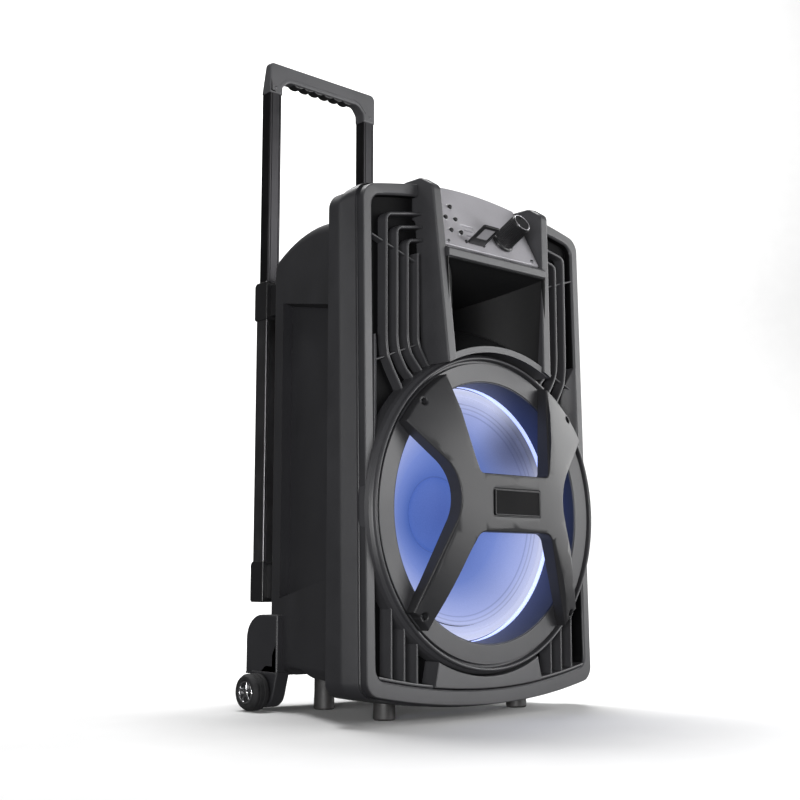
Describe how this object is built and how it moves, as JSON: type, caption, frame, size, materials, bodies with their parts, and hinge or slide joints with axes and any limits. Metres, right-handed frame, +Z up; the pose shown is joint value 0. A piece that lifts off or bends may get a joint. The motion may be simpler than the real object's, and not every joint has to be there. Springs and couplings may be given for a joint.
{
  "type": "trolley party speaker",
  "caption": "Portable trolley loudspeaker: large ringed woofer behind an X-shaped bezel, horn above it, sloping control panel, telescopic pull handle and rear wheels.",
  "frame": {"origin": "on the floor, under the middle of the speaker's bounding box", "axes": "+Z up, the front with the woofer faces -Y, +X to the right as seen from the front"},
  "size_m": [0.436, 0.4226, 0.947],
  "materials": {
    "shell_plastic": "fine-textured black moulded plastic",
    "ring_plastic": "satin dark grey moulded plastic",
    "horn_plastic": "smooth black plastic",
    "gloss_black": "semi-gloss black plastic",
    "painted_steel": "black paint",
    "screw_steel": "black zinc",
    "cone_paper": "pale paper cone lit blue by the light ring",
    "coil_wire": "enamelled copper",
    "spider_cloth": "resin-dipped cloth",
    "ferrite": "dark ceramic and plated steel",
    "led_lens": "frosted light ring",
    "circuit_board": "green solder resist",
    "panel_silver": "silver-painted plastic",
    "tube_metal": "satin",
    "wheel_rubber": "hard black rubber",
    "hub_silver": "plated plastic hub cap",
    "foot_rubber": "black rubber"
  },
  "bodies": {
    "cabinet": {"front_frame": "shell_plastic", "baffle_board": "shell_plastic", "vent_louvre_left": "shell_plastic", "vent_louvre_right": "shell_plastic", "corner_slats_left": "shell_plastic", "corner_slats_right": "shell_plastic", "centre_fascia": "shell_plastic", "horn_waveguide": "horn_plastic", "compression_driver": "painted_steel", "woofer_ring": "ring_plastic", "x_bezel": "ring_plastic", "badge_plate": "gloss_black", "bezel_screw_1": "screw_steel", "bezel_screw_2": "screw_steel", "bezel_screw_3": "screw_steel", "bezel_screw_4": "screw_steel", "woofer_basket": "painted_steel", "surround": "cone_paper", "spider": "spider_cloth", "woofer_magnet": "ferrite", "led_ring": "led_lens", "rear_shell": "shell_plastic", "rear_plate": "shell_plastic", "power_inlet": "gloss_black", "amplifier_board": "circuit_board", "power_transformer": "ferrite", "battery": "shell_plastic", "control_panel": "panel_silver", "media_module": "gloss_black", "handle_bracket_upper": "shell_plastic", "handle_bracket_lower": "shell_plastic", "outer_tube_left": "tube_metal", "outer_tube_right": "tube_metal", "wheel_housing_left": "shell_plastic", "wheel_housing_right": "shell_plastic", "axle_left": "tube_metal", "axle_right": "tube_metal", "foot_front_left": "foot_rubber", "foot_front_right": "foot_rubber", "foot_rear_left": "foot_rubber", "foot_rear_right": "foot_rubber"},
    "handle": {"inner_tube_left": "tube_metal", "inner_tube_right": "tube_metal", "handle_grip": "shell_plastic"},
    "woofer_cone": {"cone": "cone_paper", "dust_cap": "cone_paper", "voice_coil": "coil_wire"},
    "wheel_left": {"tyre_left": "wheel_rubber", "hub_left": "hub_silver"},
    "wheel_right": {"tyre_right": "wheel_rubber", "hub_right": "hub_silver"},
    "volume_knob": {"volume_knob": "gloss_black"},
    "media_flap": {"media_flap": "gloss_black"},
    "power_switch": {"power_switch": "gloss_black"},
    "button_1": {"button_1": "gloss_black"},
    "button_2": {"button_2": "gloss_black"},
    "button_3": {"button_3": "gloss_black"},
    "button_4": {"button_4": "gloss_black"},
    "button_5": {"button_5": "gloss_black"},
    "button_6": {"button_6": "gloss_black"}
  },
  "joints": [
    {"name": "handle_slide", "type": "slide", "parent": "cabinet", "child": "handle", "axis": [0, 0, 1], "range_m": [-0.275, 0]},
    {"name": "woofer_excursion", "type": "slide", "parent": "cabinet", "child": "woofer_cone", "axis": [0, -1, 0], "range_m": [-0.005, 0.005], "stiffness_N_per_m": 6000},
    {"name": "wheel_left_spin", "type": "hinge", "parent": "cabinet", "child": "wheel_left", "pos_m": [-0.1775, 0.1063, 0.0246], "axis": [1, 0, 0], "continuous": true},
    {"name": "wheel_right_spin", "type": "hinge", "parent": "cabinet", "child": "wheel_right", "pos_m": [0.1775, 0.1063, 0.0246], "axis": [1, 0, 0], "continuous": true},
    {"name": "volume_turn", "type": "hinge", "parent": "cabinet", "child": "volume_knob", "pos_m": [0.031, -0.15862, 0.62149], "axis": [0, -0.8829, 0.4695], "range_deg": [-150, 150]},
    {"name": "media_flap_hinge", "type": "hinge", "parent": "cabinet", "child": "media_flap", "pos_m": [-0.02875, -0.16872, 0.60738], "axis": [1, 0, 0], "range_deg": [-90, 0]},
    {"name": "power_switch_rock", "type": "hinge", "parent": "cabinet", "child": "power_switch", "pos_m": [0.021, 0.1363, 0.128], "axis": [1, 0, 0], "range_deg": [-11.4, 0]},
    {"name": "button_1_press", "type": "slide", "parent": "cabinet", "child": "button_1", "axis": [0, 0.8829, -0.4695], "range_m": [0, 0.0015], "stiffness_N_per_m": 400, "springref_m": -0.0005},
    {"name": "button_2_press", "type": "slide", "parent": "cabinet", "child": "button_2", "axis": [0, 0.8829, -0.4695], "range_m": [0, 0.0015], "stiffness_N_per_m": 400, "springref_m": -0.0005},
    {"name": "button_3_press", "type": "slide", "parent": "cabinet", "child": "button_3", "axis": [0, 0.8829, -0.4695], "range_m": [0, 0.0015], "stiffness_N_per_m": 400, "springref_m": -0.0005},
    {"name": "button_4_press", "type": "slide", "parent": "cabinet", "child": "button_4", "axis": [0, 0.8829, -0.4695], "range_m": [0, 0.0015], "stiffness_N_per_m": 400, "springref_m": -0.0005},
    {"name": "button_5_press", "type": "slide", "parent": "cabinet", "child": "button_5", "axis": [0, 0.8829, -0.4695], "range_m": [0, 0.0015], "stiffness_N_per_m": 400, "springref_m": -0.0005},
    {"name": "button_6_press", "type": "slide", "parent": "cabinet", "child": "button_6", "axis": [0, 0.8829, -0.4695], "range_m": [0, 0.0015], "stiffness_N_per_m": 400, "springref_m": -0.0005}
  ]
}
